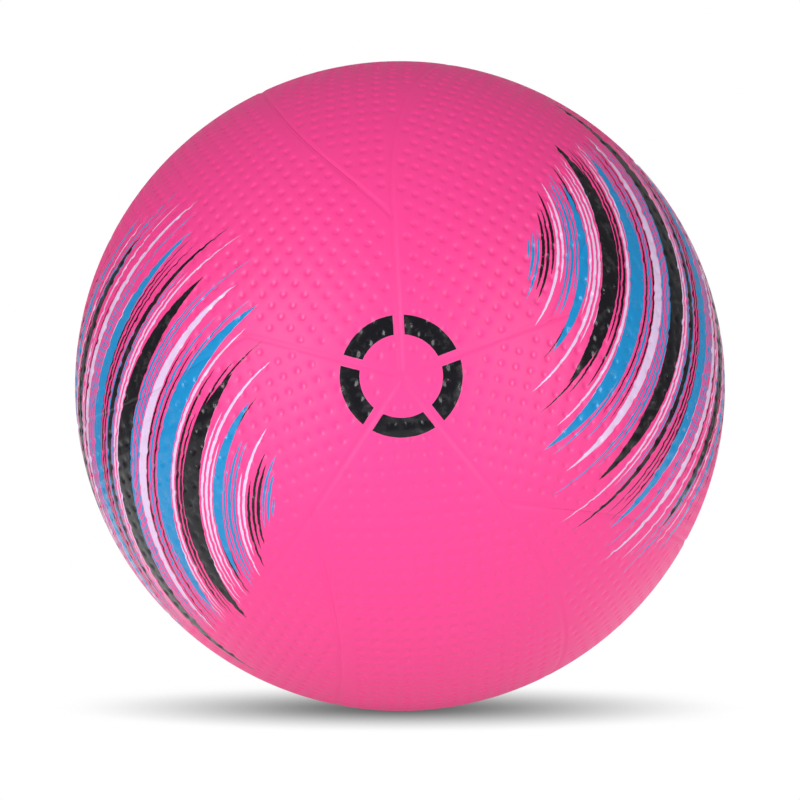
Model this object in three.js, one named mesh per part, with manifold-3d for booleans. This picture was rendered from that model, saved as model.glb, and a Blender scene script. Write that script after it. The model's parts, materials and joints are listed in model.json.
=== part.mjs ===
// A moulded rubber volleyball: ten cover panels, a two-piece rubber carcass, a nylon winding,
// an air bladder and its needle valve. Millimetres and degrees, +Z up, origin at the ball's centre.
// The poles of the panel layout lie on the Y axis: the front pole at -Y and the back pole at +Y.

import * as THREE from 'three';
import { mergeVertices } from 'three/addons/utils/BufferGeometryUtils.js';
import Module from 'manifold-3d';

const wasm = await Module();
wasm.setup();

// Sizes of the ball and its layers
const ballDiameter = 210;
const coverThickness = 0.9;
const carcassThickness = 0.3;
const windingThickness = 0.25;
const bladderThickness = 0.4;
const layerGap = 0.3; // clear space between one layer and the next
const carcassJoint = 0.3; // clear space where the two halves of the carcass meet

// The seams. A straight seam runs from a pole to each fork, and two bent seams leave the fork.
const panelsPerPole = 5;
const firstSeam = 92.9; // turn of the first straight seam about the pole axis, from +X towards +Z
const forkPolar = 27; // angle at the centre between a pole and its forks
const seamLean = 13.5; // how far the gentle seam has turned at the equator
const gentleBend = 0.3; // share of the gentle seam's turn that comes late
const steepBend = 0.95; // share of the steep seam's turn that comes right at the fork
const seamGap = 0.3; // clear space between two panels
const seamDepth = 0.4; // how far a panel's edge drops below its face
const seamRound = 0.8; // width of the rounded edge
const tipRound = 2.4; // length over which a panel's pointed tip rises to its face

// The valve, along its own line from the ball's centre
const valvePolar = 55; // angle at the centre between the back pole and the valve
const neckRadius = 4.2;
const neckClearance = 0.3; // round the neck, in the hole through all the layers
const valveRecess = 0.3; // how far the valve's face lies below the rim of its hole
const flangeRadius = 12;
const flangeEdge = 0.8; // thickness of the flange at its rim
const flangeRoot = 2.2; // thickness of the flange at the boss
const flangeClearance = 0.3; // between the flange and the bladder's wall
const bossRadius = 5;
const bossLength = 14; // from the flange's top inwards
const bossChamfer = 0.8;
const coreRadius = 2.5;
const coreClearance = 0.3; // all round the core in its housing
const coreLength = 20;
const coreTaper = 1.1;
const collarRadius = 3.3; // the collar that snaps into the housing's groove
const collarTop = 5; // depth of the collar below the valve's face
const collarLength = 3;
const collarSlope = 0.6;
const needleRadius = 0.7;
const needleDepth = 6;
const needleLead = 0.4; // chamfer round the needle hole

// How finely the round shapes are divided
const acrossPanel = 5;
const poleRows = 5;
const beltRows = 22;
const innerBallDetail = 5;
const valveSides = 20;

const radius = ballDiameter / 2;
const holeRadius = neckRadius + neckClearance;
const wholeTurn = 360 / panelsPerPole;
const poleAxis = new THREE.Vector3(0, 1, 0);
const { degToRad, radToDeg, lerp } = THREE.MathUtils;

function rubberCover() {
  return new THREE.MeshStandardMaterial({ color: 0xfd56a5, roughness: 0.42, metalness: 0 });
}

function carcassRubber() {
  return new THREE.MeshStandardMaterial({ color: 0x34302f, roughness: 0.85, metalness: 0 });
}

function nylonThread() {
  return new THREE.MeshStandardMaterial({ color: 0xe9e4d6, roughness: 0.7, metalness: 0 });
}

function butylRubber() {
  return new THREE.MeshStandardMaterial({ color: 0x1b1b1d, roughness: 0.55, metalness: 0 });
}

function valveRubber() {
  return new THREE.MeshStandardMaterial({ color: 0x151517, roughness: 0.5, metalness: 0 });
}

// A unit direction from the ball's centre: polar is measured from the front pole, and turn goes
// about the pole axis from +X towards +Z.
function direction(polar, turn) {
  const p = degToRad(polar);
  const t = degToRad(turn);
  return new THREE.Vector3(Math.sin(p) * Math.cos(t), -Math.cos(p), Math.sin(p) * Math.sin(t));
}

// Where a polar angle lies between the forks: 1 at the front ones, 0 at the equator, -1 at the back.
function alongBelt(polar) {
  return (90 - polar) / (90 - forkPolar);
}

// The left edge of a front panel: a straight seam, and then the gentle seam.
function leftSeam(polar) {
  if (polar < forkPolar) return firstSeam;
  const s = alongBelt(polar);
  return firstSeam - seamLean + seamLean * ((1 + gentleBend) * s - gentleBend * s ** 5);
}

// Its right edge: the next straight seam, and then the steep seam, which meets the gentle one.
function rightSeam(polar) {
  const start = firstSeam - wholeTurn;
  if (polar < forkPolar) return start;
  const s = alongBelt(polar);
  return start + (wholeTurn / 2 - seamLean) * (1 - (1 - steepBend) * s - steepBend * s ** 5);
}

// How far, in degrees of turn, a panel's edge stands back from the seam's middle.
function setBack(seam, polar) {
  const step = 0.25;
  const slope = (seam(polar + step) - seam(polar - step)) / (2 * step);
  const level = Math.sin(degToRad(polar));
  const slant = Math.hypot(1, level * slope);
  return radToDeg(((seamGap / 2) * slant) / (radius * level));
}

function leftEdge(polar) {
  return leftSeam(polar) - setBack(leftSeam, polar);
}

function rightEdge(polar) {
  return rightSeam(polar) + setBack(rightSeam, polar);
}

function panelWidth(polar) {
  return degToRad(leftEdge(polar) - rightEdge(polar)) * radius * Math.sin(degToRad(polar));
}

// The polar angle where a panel's two edges meet, between a place outside it and one inside.
function panelTip(outside, inside) {
  let out = outside;
  let within = inside;
  for (let i = 0; i < 40; i += 1) {
    const middle = (out + within) / 2;
    if (panelWidth(middle) > 0) within = middle;
    else out = middle;
  }
  return within;
}

// The polar angles of a panel's rows, from its tip at the pole to its tip at the far fork. A close
// row next to each tip rounds it off.
function panelRows() {
  const poleTip = panelTip(0.01, forkPolar);
  const farTip = panelTip(180 - forkPolar, 90);
  const roundStep = radToDeg(tipRound / radius);
  const rows = [poleTip, poleTip + roundStep];
  for (let i = 1; i <= poleRows; i += 1) rows.push((forkPolar * i) / poleRows);
  const beltStep = (180 - 2 * forkPolar) / beltRows;
  for (let i = 1; i < beltRows; i += 1) rows.push(forkPolar + beltStep * i);
  rows.push(farTip - roundStep, farTip);
  return rows;
}

// One closed ring of points round a panel's thickness: over its face and back under it. Next to a
// tip each rounded edge takes a quarter of the width, and the tip itself is as low as the edges.
function panelRing(polar) {
  const left = leftEdge(polar);
  const right = rightEdge(polar);
  const width = panelWidth(polar);
  const edge = Math.min(seamRound / Math.max(width, seamRound), 1 / 4);
  const height = width > seamRound ? radius : radius - seamDepth;
  const ring = [direction(polar, left).multiplyScalar(radius - seamDepth)];
  for (let i = 0; i <= acrossPanel; i += 1) {
    const turn = lerp(left, right, lerp(edge, 1 - edge, i / acrossPanel));
    ring.push(direction(polar, turn).multiplyScalar(height));
  }
  ring.push(direction(polar, right).multiplyScalar(radius - seamDepth));
  for (let i = acrossPanel; i >= 0; i -= 1) {
    const turn = lerp(left, right, i / acrossPanel);
    ring.push(direction(polar, turn).multiplyScalar(radius - coverThickness));
  }
  return ring;
}

// A closed skin through rings of points, each ring joined to the next. Points that coincide, as
// they do at a tip, become one, and the faces that this leaves with no area are dropped.
function skinThrough(rings) {
  const sides = rings[0].length;
  const geometry = new THREE.BufferGeometry().setFromPoints(rings.flat());
  const corners = [];
  for (let r = 1; r < rings.length; r += 1) {
    for (let i = 0; i < sides; i += 1) {
      const next = (i + 1) % sides;
      const [a, b] = [(r - 1) * sides, r * sides];
      corners.push(a + i, b + next, b + i);
      corners.push(a + i, a + next, b + next);
    }
  }
  geometry.setIndex(corners);
  return withoutEmptyFaces(mergeVertices(geometry, 1e-3));
}

function withoutEmptyFaces(geometry) {
  const index = geometry.getIndex().array;
  const kept = [];
  for (let i = 0; i < index.length; i += 3) {
    const [a, b, c] = index.slice(i, i + 3);
    if (a !== b && b !== c && c !== a) kept.push(a, b, c);
  }
  geometry.setIndex(kept);
  return geometry;
}

// A closed geometry as a solid that can be cut and joined.
function toSolid(geometry) {
  const plain = geometry.clone();
  plain.deleteAttribute('normal');
  plain.deleteAttribute('uv');
  const merged = mergeVertices(plain, 1e-3);
  const vertProperties = new Float32Array(merged.getAttribute('position').array);
  const triVerts = new Uint32Array(merged.getIndex().array);
  return new wasm.Manifold(new wasm.Mesh({ numProp: 3, vertProperties, triVerts }));
}

function toGeometry(solid) {
  const { vertProperties, triVerts } = solid.getMesh();
  const geometry = new THREE.BufferGeometry();
  geometry.setAttribute('position', new THREE.BufferAttribute(vertProperties, 3));
  geometry.setIndex(new THREE.BufferAttribute(triVerts, 1));
  return geometry;
}

// The least distance from the ball's centre to any face, which lies nearer than the corners do.
function reachInside(geometry) {
  const merged = mergeVertices(geometry, 1e-3);
  const position = merged.getAttribute('position');
  const index = merged.getIndex();
  const centre = new THREE.Vector3();
  const nearest = new THREE.Vector3();
  const face = new THREE.Triangle();
  let least = Infinity;
  for (let i = 0; i < index.count; i += 3) {
    const corners = [index.getX(i), index.getX(i + 1), index.getX(i + 2)];
    face.setFromAttributeAndIndices(position, ...corners);
    least = Math.min(least, face.closestPointToPoint(centre, nearest).length());
  }
  return least;
}

function innerBall(ballRadius) {
  return new THREE.IcosahedronGeometry(ballRadius, innerBallDetail);
}

// Turns the front panel to any of the ten places: about the pole axis, and for a back panel first
// half a turn about a level line through the middle of the gentle seam.
function panelPlace(isBack, number) {
  const turn = -degToRad(wholeTurn * number);
  const place = new THREE.Quaternion().setFromAxisAngle(poleAxis, turn);
  if (!isBack) return place;
  const level = direction(90, firstSeam - seamLean);
  return place.multiply(new THREE.Quaternion().setFromAxisAngle(level, Math.PI));
}

const panelGeometry = skinThrough(panelRows().map(panelRing));
const valvePanel = { isBack: true, number: 0 };

// The line of the valve, through the middle of its panel.
const valvePlace = panelPlace(valvePanel.isBack, valvePanel.number);
const valveTurn = (leftSeam(valvePolar) + rightSeam(valvePolar)) / 2;
const valveLine = direction(valvePolar, valveTurn).applyQuaternion(valvePlace);
const valveTilt = new THREE.Quaternion().setFromUnitVectors(poleAxis, valveLine);

// Radii of the layers. Each one is set against the nearest faces of the layer that holds it.
const carcassRadius = reachInside(panelGeometry) - layerGap;
const windingRadius = carcassRadius - carcassThickness - layerGap;
const bladderRadius = windingRadius - windingThickness - layerGap;
const bladderBore = bladderRadius - bladderThickness;

// Heights along the valve's line, from the ball's centre
const valveFace = Math.sqrt(radius ** 2 - holeRadius ** 2) - valveRecess;
const bladderReach = reachInside(innerBall(bladderBore)) - flangeClearance;
const flangeTop = Math.sqrt(bladderReach ** 2 - neckRadius ** 2);
const flangeRim = Math.sqrt(bladderReach ** 2 - flangeRadius ** 2);

// The round hole for the valve's neck, as a tool that cuts every layer.
function valveHole() {
  const length = 2 * (radius - bladderBore) + 2 * holeRadius;
  const tool = new THREE.CylinderGeometry(holeRadius, holeRadius, length, valveSides);
  tool.translate(0, radius, 0);
  tool.applyQuaternion(valveTilt);
  return toSolid(tool);
}

// A hollow ball with the valve's hole in it.
function shell(outerRadius, thickness) {
  const hollow = toSolid(innerBall(outerRadius - thickness));
  return toSolid(innerBall(outerRadius)).subtract(hollow).subtract(valveHole());
}

// One half of the carcass: the shell less everything beyond the joint. side is -1 for the front
// half and 1 for the back half.
function carcassHalf(side) {
  const size = 2 * ballDiameter;
  const away = new THREE.BoxGeometry(size, size, size);
  away.translate(0, side * (carcassJoint / 2 - size / 2), 0);
  return toGeometry(shell(carcassRadius, carcassThickness).subtract(toSolid(away)));
}

function namedMesh(name, geometry, material) {
  const mesh = new THREE.Mesh(geometry, material);
  mesh.name = name;
  return mesh;
}

function coverPanel(isBack, number) {
  const name = `${isBack ? 'back' : 'front'}_panel_${number + 1}`;
  const panel = namedMesh(name, panelGeometry, rubberCover());
  const place = panelPlace(isBack, number);
  if (isBack === valvePanel.isBack && number === valvePanel.number) {
    const whole = toSolid(panelGeometry.clone().applyQuaternion(place));
    panel.geometry = toGeometry(whole.subtract(valveHole()));
  } else {
    panel.quaternion.copy(place);
  }
  return panel;
}

// A turned piece on the valve's line, from its half section in radius and height, which runs over
// its face and down its outside. A lathe takes the outside upwards, so the section is reversed.
function turned(profile) {
  const points = profile.map(([x, y]) => new THREE.Vector2(x, y));
  return new THREE.LatheGeometry(points.reverse(), valveSides);
}

// The housing is bonded into the bladder by its flange. Its neck shows in the cover's hole.
function valveHousing() {
  const bore = coreRadius + coreClearance;
  const groove = collarRadius + coreClearance;
  const grooveTop = valveFace - collarTop + coreClearance;
  const grooveFoot = valveFace - collarTop - collarLength - coreClearance;
  const bottom = flangeTop - bossLength;
  const profile = [
    [bore, valveFace],
    [neckRadius, valveFace],
    [neckRadius, flangeTop],
    [flangeRadius, flangeRim],
    [flangeRadius, flangeRim - flangeEdge],
    [bossRadius, flangeTop - flangeRoot],
    [bossRadius, bottom + bossChamfer],
    [bossRadius - bossChamfer, bottom],
    [bore, bottom],
    [bore, grooveFoot],
    [groove, grooveFoot + collarSlope],
    [groove, grooveTop - collarSlope],
    [bore, grooveTop],
    [bore, valveFace],
  ];
  return namedMesh('valve_housing', turned(profile), valveRubber());
}

// The core is a soft plug. The needle goes into the hole in its face and parts the slit below.
function valveCore() {
  const collarFoot = valveFace - collarTop - collarLength;
  const tip = valveFace - coreLength;
  const profile = [
    [0, valveFace - needleDepth],
    [needleRadius, valveFace - needleDepth],
    [needleRadius, valveFace - needleLead],
    [needleRadius + needleLead, valveFace],
    [coreRadius, valveFace],
    [coreRadius, valveFace - collarTop],
    [collarRadius, valveFace - collarTop - collarSlope],
    [collarRadius, collarFoot + collarSlope],
    [coreRadius, collarFoot],
    [coreRadius, tip + 2 * coreTaper],
    [coreRadius - coreTaper, tip],
    [0, tip],
  ];
  return namedMesh('valve_core', turned(profile), valveRubber());
}

function valve() {
  const group = new THREE.Group();
  group.add(valveHousing(), valveCore());
  group.quaternion.copy(valveTilt);
  return group;
}

function cover() {
  const group = new THREE.Group();
  for (const isBack of [false, true]) {
    for (let i = 0; i < panelsPerPole; i += 1) group.add(coverPanel(isBack, i));
  }
  return group;
}

function innerLayers() {
  const group = new THREE.Group();
  const winding = toGeometry(shell(windingRadius, windingThickness));
  const bladder = toGeometry(shell(bladderRadius, bladderThickness));
  group.add(namedMesh('carcass_front', carcassHalf(-1), carcassRubber()));
  group.add(namedMesh('carcass_back', carcassHalf(1), carcassRubber()));
  group.add(namedMesh('nylon_winding', winding, nylonThread()));
  group.add(namedMesh('air_bladder', bladder, butylRubber()));
  return group;
}

const volleyball = new THREE.Group();
volleyball.add(cover(), innerLayers(), valve());

export default volleyball;
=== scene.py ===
"""A moulded rubber volleyball, dressed over its solids. Lengths are in metres, angles in radians.

The ball's centre is the origin and +Z is up. Five cover panels meet at the front pole (-Y), which
faces the camera, and five at the back pole (+Y).
"""

import json
import math

import bmesh
import bpy
import numpy as np
from bpy.props import FloatProperty, FloatVectorProperty, IntProperty, PointerProperty
from bpy.types import Operator, Panel, PropertyGroup
from mathutils import Matrix, Vector
from mathutils.geometry import delaunay_2d_cdt
from mathutils.kdtree import KDTree


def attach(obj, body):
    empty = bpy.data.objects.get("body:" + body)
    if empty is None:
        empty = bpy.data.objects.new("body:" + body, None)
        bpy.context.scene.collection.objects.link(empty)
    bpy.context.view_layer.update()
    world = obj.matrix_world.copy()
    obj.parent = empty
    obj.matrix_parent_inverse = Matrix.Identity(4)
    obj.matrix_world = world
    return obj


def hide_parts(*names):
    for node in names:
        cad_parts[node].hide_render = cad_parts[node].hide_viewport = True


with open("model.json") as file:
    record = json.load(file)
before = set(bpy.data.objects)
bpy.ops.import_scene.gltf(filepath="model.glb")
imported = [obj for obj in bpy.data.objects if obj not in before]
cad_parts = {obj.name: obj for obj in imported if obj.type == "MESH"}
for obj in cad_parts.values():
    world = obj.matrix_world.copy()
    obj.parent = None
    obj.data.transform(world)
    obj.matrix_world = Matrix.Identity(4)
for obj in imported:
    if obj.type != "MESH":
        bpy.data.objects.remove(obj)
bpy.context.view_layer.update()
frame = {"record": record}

bl_info = {
    "name": "Moulded rubber volleyball",
    "version": (1, 0, 0),
    "blender": (4, 5, 0),
    "location": "3D View > Sidebar > Volleyball",
    "description": "Builds a dimpled rubber volleyball with printed sides, and its studio stage",
    "category": "Object",
}

MM = 0.001
VALVE_LINE = Vector(
    next(m["axis"] for m in frame["record"]["mounts"] if m["name"] == "valve_face")
).normalized()


def length(name, description, millimetres):
    """A property that holds a length, given in millimetres."""
    return FloatProperty(
        name=name,
        description=description,
        default=millimetres * MM,
        precision=5,
        unit="LENGTH",
        subtype="DISTANCE",
    )


def angle(name, description, degrees):
    """A property that holds an angle, given in degrees."""
    return FloatProperty(
        name=name,
        description=description,
        default=math.radians(degrees),
        unit="ROTATION",
        subtype="ANGLE",
    )


def share(name, description, default):
    """A property that holds a share from 0 to 1."""
    return FloatProperty(
        name=name, description=description, default=default, min=0, max=1, subtype="FACTOR"
    )


def linear(code):
    """The linear red, green and blue of a colour code such as fd56a5."""
    parts = [int(code[i : i + 2], 16) / 255 for i in (0, 2, 4)]
    return [c / 12.92 if c <= 0.04045 else ((c + 0.055) / 1.055) ** 2.4 for c in parts]


def colour(name, description, code):
    """A property that holds a colour, given as its code."""
    return FloatVectorProperty(
        name=name,
        description=description,
        default=linear(code),
        min=0,
        max=1,
        size=3,
        subtype="COLOR",
    )


class BallSizes(PropertyGroup):
    """Sizes of the cover and the valve."""

    ball_diameter: length("Ball diameter", "Outside of the cover", 210)
    cover_thickness: length("Cover thickness", "Away from the seams and dents", 0.9)
    panels_per_pole: IntProperty(
        name="Panels per pole", description="Panels that meet at each pole", default=5
    )
    first_seam: angle("First seam", "Turn of the first straight seam, from +X to +Z", 92.9)
    fork_angle: angle("Fork angle", "At the ball's centre, from a pole to its forks", 27)
    seam_lean: angle("Seam lean", "Turn of the gentle seam at the equator", 13.5)
    gentle_bend: share("Gentle bend", "Share of the gentle seam's turn that comes late", 0.3)
    steep_bend: share("Steep bend", "Share of the steep seam's turn next to its fork", 0.95)
    seam_width: length("Seam width", "Width of the groove along a seam", 3.0)
    seam_depth: length("Seam depth", "Depth of the groove along a seam", 0.26)
    dent_pitch: length("Dent pitch", "From one dent to the next", 4.8)
    dent_lean: angle("Dent lean", "From the panel's middle line to the rows of dents", -3)
    dent_start: FloatVectorProperty(
        name="Dent start",
        description="First dent's place along and across the rows, in pitches",
        default=(0.85, 0.25),
        size=2,
    )
    dent_width: length("Dent width", "Across a dent", 3.0)
    dent_depth: length("Dent depth", "Depth of a dent", 0.33)
    dent_margin: length("Dent margin", "From a seam to the nearest dent's middle", 2.3)
    hole_radius: length("Hole radius", "Of the hole for the valve's neck", 4.4)
    hole_round: length("Hole round", "Width of the hole's rounded rim", 0.7)
    neck_radius: length("Neck radius", "Outside of the valve's neck", 4.2)
    flange_radius: length("Flange radius", "Of the flange inside the bladder", 12)
    core_radius: length("Core radius", "Of the plug in the valve", 2.5)
    core_length: length("Core length", "Of the plug in the valve", 20)
    needle_radius: length("Needle radius", "Of the hole for an inflating needle", 0.7)


class BallColours(PropertyGroup):
    """Colours of the rubbers, the thread and the inks."""

    cover: colour("Cover", "Pink cover rubber", "fb3992")
    blue_ink: colour("Blue ink", "Blue of the print", "1690ce")
    pale_ink: colour("Pale ink", "Pale lavender of the print", "e7cef1")
    black_ink: colour("Black ink", "Black of the print", "0e0e15")
    valve: colour("Valve", "Black valve rubber", "17171a")
    carcass: colour("Carcass", "Dark sheet rubber under the cover", "34302f")
    thread: colour("Thread", "Nylon thread round the bladder", "e9e4d6")
    bladder: colour("Bladder", "Butyl rubber of the bladder", "1b1b1d")
    floor: colour("Floor", "Frosted top of the light table", "959595")


class StageSizes(PropertyGroup):
    """Where the camera stands."""

    camera_distance: length("Camera distance", "From the ball's centre", 1050)
    camera_azimuth: angle("Camera azimuth", "Round the ball from the front pole", -0.2)
    camera_elevation: angle("Camera elevation", "Above the ball's centre", -1.6)
    lens: FloatProperty(name="Lens", description="Focal length in millimetres", default=145.5)
    ball_rise: share("Ball rise", "Share of the picture that the ball is above its middle", 0.0175)


# The panel layout


class PanelMap:
    """One front panel on the ball: where its seams run, and a flat map of it.

    polar is the angle at the ball's centre from the front pole, and turn goes about the pole axis
    from +X towards +Z. On the map, u runs along the panel's middle line from the pole and v across
    it towards the left seam, both in metres.
    """

    seam_steps = 238  # along each side; a multiple of 17 puts a point on the fork
    bend_power = 5  # how close to the fork a seam keeps its late bend

    def __init__(self, sizes):
        self.sizes = sizes
        self.radius = sizes.ball_diameter / 2
        self.whole_turn = 2 * math.pi / sizes.panels_per_pole
        middle = sizes.first_seam - sizes.seam_lean - self.whole_turn / 4
        self.pole = np.array([0, -1, 0])
        self.along = np.array([math.cos(middle), 0, math.sin(middle)])
        self.across = np.array([-math.sin(middle), 0, math.cos(middle)])

    def left_turn(self, polar):
        """Turn of the left seam: straight to the fork, then gentle."""
        k = self.sizes
        s = (math.pi / 2 - polar) / (math.pi / 2 - k.fork_angle)
        bent = (1 + k.gentle_bend) * s - k.gentle_bend * s**self.bend_power
        return np.where(
            polar < k.fork_angle, k.first_seam, k.first_seam + k.seam_lean * (bent - 1)
        )

    def right_turn(self, polar):
        """Turn of the right seam: straight to the next fork, then steep."""
        k = self.sizes
        start = k.first_seam - self.whole_turn
        s = (math.pi / 2 - polar) / (math.pi / 2 - k.fork_angle)
        bent = 1 - (1 - k.steep_bend) * s - k.steep_bend * s**self.bend_power
        steep = start + (self.whole_turn / 2 - k.seam_lean) * bent
        return np.where(polar < k.fork_angle, start, steep)

    def to_map(self, ways):
        """Map places of unit directions from the ball's centre."""
        lon = np.arctan2(ways @ self.along, ways @ self.pole)
        lat = np.arcsin(ways @ self.across)
        return self.radius * np.stack([lon, lat], axis=-1)

    def to_ways(self, places):
        """Unit directions of map places."""
        lon, lat = (np.asarray(places) / self.radius).T[..., None]
        level = np.cos(lon) * self.pole + np.sin(lon) * self.along
        return np.cos(lat) * level + np.sin(lat) * self.across

    def outline(self):
        """The panel's outline on the map, from the pole round to the pole, leftwards."""
        polar = np.linspace(0, math.pi - self.sizes.fork_angle, self.seam_steps + 1)
        sides = []
        for turn in (self.left_turn(polar), self.right_turn(polar)):
            flat = np.stack([np.cos(turn), 0 * turn, np.sin(turn)], axis=-1)
            ways = np.sin(polar)[:, None] * flat + np.cos(polar)[:, None] * self.pole
            sides.append(self.to_map(ways))
        left, right = sides
        return np.concatenate([right, left[-2:0:-1]])


def place_of(sizes, is_back, number):
    """The turn that brings the front panel to any of the ten places."""
    turn = -2 * math.pi / sizes.panels_per_pole * number
    place = Matrix.Rotation(turn, 3, "Y")
    if is_back:
        level = sizes.first_seam - sizes.seam_lean
        flip = Matrix.Rotation(math.pi, 3, Vector((math.cos(level), 0, math.sin(level))))
        place = place @ flip
    return place


# The cover's mesh

COVER_CREASE = math.radians(55)  # edges sharper than this shade as edges
CDT_INSIDE = 1  # the output of delaunay_2d_cdt without what lies outside all the loops
CDT_NEAR = 1e-9  # under which it takes two places for one


def inset(loop, distance):
    """A closed loop moved inwards. The loop runs leftwards round its inside."""
    run = np.roll(loop, -1, axis=0) - np.roll(loop, 1, axis=0)
    run /= np.linalg.norm(run, axis=1)[:, None]
    return loop + distance * np.stack([-run[:, 1], run[:, 0]], axis=-1)


def ring(middle, radius, count, phase=0.0):
    """Points on a circle."""
    turns = phase + np.arange(count) * 2 * math.pi / count
    return middle + radius * np.stack([np.cos(turns), np.sin(turns)], axis=-1)


def tree_of(points):
    """A search tree of map places."""
    tree = KDTree(len(points))
    for i, (u, v) in enumerate(points):
        tree.insert((u, v, 0), i)
    tree.balance()
    return tree


def distances(points, tree):
    """How far each map place is from the nearest one in a tree."""
    return np.array([tree.find((u, v, 0))[2] for u, v in points])


def dense(loop, step):
    """A closed loop with points added, so that no two are further apart than a step."""
    gaps = np.roll(loop, -1, axis=0) - loop
    count = int(math.ceil(np.linalg.norm(gaps, axis=1).max() / step))
    return np.concatenate([loop + gaps * i / count for i in range(count)])


def triangles_in(points, loops):
    """Triangles over map places, inside the first loop and outside the others.

    Each loop is a range of the points.
    """
    edges = []
    for loop in loops:
        edges += [(i, i + 1) for i in loop[:-1]] + [(loop[-1], loop[0])]
    flat = [Vector(p) for p in points]
    found = delaunay_2d_cdt(flat, edges, [], CDT_INSIDE, CDT_NEAR, True)
    verts, faces, origin = found[0], found[2], found[3]
    assert len(verts) == len(points), "two map places coincide"
    back = [o[0] for o in origin]
    return [tuple(back[i] for i in face) for face in faces]


class CoverMesh:
    """A cover panel as a closed mesh: the dented face, its walls and its underside."""

    groove_rows = (0.12, 0.26, 0.42, 0.6, 0.8, 1.0)  # shares of the groove's half width
    row_clearance = 0.97  # share of its own distance that a row keeps from every seam
    dent_rings = ((0.3, 6), (0.5, 9), (0.68, 12), (0.84, 12), (1.02, 12))  # share, points
    ring_twist = 0.3  # how far each ring of a dent is turned against the one before
    dent_clearance = 0.56  # share of a dent's width, from its middle to other points
    hole_rows = (0.15, 0.35, 0.65, 1.0)  # shares of the hole's rounded rim
    hole_steps = 64  # points round the valve's hole
    hole_drop = 0.7  # depth of the hole's rounded rim, as a share of its width
    hole_clearance = 1.2 * MM  # from the hole to the points of the plain face
    dent_hole_clearance = 3 * MM  # from the hole to the nearest dent's middle
    least_gap = 0.1 * MM  # the closest that a dent's points come to a seam
    under_step = 6 * MM  # spacing of points on the underside

    def __init__(self, layout, hole=None):
        self.layout = layout
        self.sizes = layout.sizes
        self.hole = hole  # the valve hole's map place
        self.outline = layout.outline()
        self.edge_tree = tree_of(dense(self.outline, self.least_gap))
        self.loops = []
        self.places = np.empty((0, 2))
        self.middles = self.dent_middles()
        self.dent_tree = tree_of(self.middles)
        self.lay_out_points()

    def add(self, points):
        """Adds map places to the face."""
        self.places = np.concatenate([self.places, points])

    def add_loop(self, points):
        """Adds map places that bound the face."""
        start = len(self.places)
        self.add(points)
        self.loops.append(list(range(start, len(self.places))))

    def lay_out_points(self):
        """Map places that follow the outline, the hole, the grooves and the dents."""
        k = self.sizes
        half = k.seam_width / 2
        self.add_loop(self.outline)
        if self.hole is not None:
            self.add_loop(ring(self.hole, k.hole_radius, self.hole_steps)[::-1])
            for row in self.hole_rows:
                radius = k.hole_radius + row * k.hole_round
                self.add(ring(self.hole, radius, self.hole_steps))
        for row in self.groove_rows:
            points = inset(self.outline, row * half)
            kept = distances(points, self.edge_tree) > self.row_clearance * row * half
            points = points[kept]
            self.add(points[self.clear_of_hole(points) & self.clear_of_dents(points)])
        for middle in self.middles:
            points = [middle[None]]
            for number, (part, count) in enumerate(self.dent_rings):
                turn = number * self.ring_twist
                points.append(ring(middle, part * k.dent_width / 2, count, turn))
            points = np.concatenate(points)
            self.add(points[distances(points, self.edge_tree) > self.least_gap])
        points = self.within(self.lattice(k.dent_pitch / 2), half + 3 * self.least_gap)
        self.add(points[self.clear_of_hole(points) & self.clear_of_dents(points)])

    def sink(self, points):
        """How deep the cover lies under the ball's round, and how far into a dent."""
        k = self.sizes
        off = np.minimum(distances(points, self.edge_tree) / (k.seam_width / 2), 1)
        depth = k.seam_depth * np.cos(math.pi / 2 * off) ** 2
        part = np.minimum(distances(points, self.dent_tree) / (k.dent_width / 2), 1)
        dent = (1 - part**3) ** 2
        depth += k.dent_depth * dent
        if self.hole is not None:
            far = np.linalg.norm(points - self.hole, axis=1) - k.hole_radius
            near = 1 - np.clip(far / k.hole_round, 0, 1)
            depth += self.hole_drop * k.hole_round * (1 - np.sqrt(1 - near**2))
        return depth, dent

    def clear_of_hole(self, points, margin=hole_clearance):
        """Which places stay off the valve hole's rim."""
        if self.hole is None:
            return np.full(len(points), True)
        far = np.linalg.norm(points - self.hole, axis=1)
        return far > self.sizes.hole_radius + margin

    def clear_of_dents(self, points):
        """Which places stay off the dents."""
        return distances(points, self.dent_tree) > self.dent_clearance * self.sizes.dent_width

    def lattice(self, step):
        """Places of a square lattice over the panel, in line with the dents."""
        k = self.sizes
        reach = np.abs(self.outline).max() + k.dent_pitch
        marks = np.arange(-math.ceil(reach / step), math.ceil(reach / step) + 1) * step
        start = np.array(k.dent_start) * k.dent_pitch
        rows = np.stack(np.meshgrid(marks, marks, indexing="ij"), axis=-1).reshape(-1, 2) + start
        cos, sin = math.cos(k.dent_lean), math.sin(k.dent_lean)
        return rows @ np.array([[cos, sin], [-sin, cos]])

    def within(self, points, margin):
        """Places inside the panel and off its edge by a margin."""
        low, high = self.outline.min(axis=0), self.outline.max(axis=0)
        points = points[((points > low) & (points < high)).all(axis=1)]
        x, y = points.T[..., None]
        (x1, y1), (x2, y2) = self.outline.T, np.roll(self.outline, -1, axis=0).T
        crosses = (y1 > y) != (y2 > y)
        with np.errstate(divide="ignore", invalid="ignore"):
            left = x < (x2 - x1) * (y - y1) / (y2 - y1) + x1
        points = points[(crosses & left).sum(axis=1) % 2 == 1]
        return points[distances(points, self.edge_tree) > margin]

    def dent_middles(self):
        """The middle of each dent, off the seams and off the valve's hole."""
        k = self.sizes
        middles = self.within(self.lattice(k.dent_pitch), k.dent_margin)
        return middles[self.clear_of_hole(middles, self.dent_hole_clearance)]

    def face_over(self, places, loops):
        """Triangles inside the outline and outside the hole."""
        faces = triangles_in(places, loops)
        if self.hole is not None:
            rim = set(loops[1])
            faces = [face for face in faces if not set(face) <= rim]
        return faces

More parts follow.
